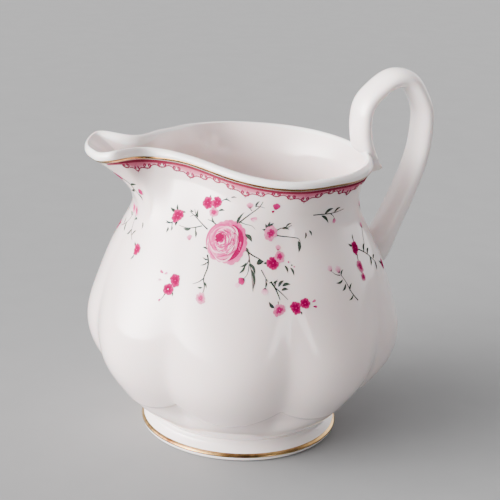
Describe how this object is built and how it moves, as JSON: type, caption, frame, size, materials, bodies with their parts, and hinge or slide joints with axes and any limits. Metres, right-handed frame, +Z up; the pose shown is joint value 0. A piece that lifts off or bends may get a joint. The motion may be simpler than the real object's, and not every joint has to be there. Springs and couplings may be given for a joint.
{
  "type": "cream jug",
  "caption": "Lobed porcelain cream jug with a pinched pouring spout, high loop handle, gilded rim and foot, lace border and rose sprays.",
  "frame": {"origin": "centre of the foot's flat resting edge, on the axis of the round body", "axes": "+Z up, spout along -X, handle along +X, XZ is the plane of symmetry"},
  "size_m": [0.1046, 0.091, 0.1079],
  "materials": {
    "porcelain": "warm white porcelain under a clear, high-gloss glaze",
    "porcelain_lip": "plain white glazed lip, softly rounded",
    "porcelain_foot": "white glazed foot, wiped bare on the resting edge",
    "porcelain_handle": "plain white glazed handle",
    "gilding": "fired bright gold, thin and slightly worn",
    "lace_print": "pink lace transfer with scrolls and a darker rose line along the top, fired on the glaze",
    "floral_print": "pink and crimson blossoms with grey-green leaves, transfer print fired on the glaze"
  },
  "bodies": {
    "root": {"jug_body": "porcelain", "rim_lip": "porcelain_lip", "foot_ring": "porcelain_foot", "handle_strap": "porcelain_handle", "handle_top_joint": "porcelain_handle", "handle_low_joint": "porcelain_handle", "rim_gold_line": "gilding", "foot_gold_line": "gilding", "rim_lace_border": "lace_print", "front_rose_spray": "floral_print", "back_rose_spray": "floral_print", "front_low_sprig": "floral_print", "back_low_sprig": "floral_print", "front_high_sprig": "floral_print", "back_high_sprig": "floral_print", "front_side_sprig": "floral_print", "back_side_sprig": "floral_print", "front_spout_sprig": "floral_print", "back_spout_sprig": "floral_print", "front_handle_sprig": "floral_print", "back_handle_sprig": "floral_print"}
  },
  "joints": []
}
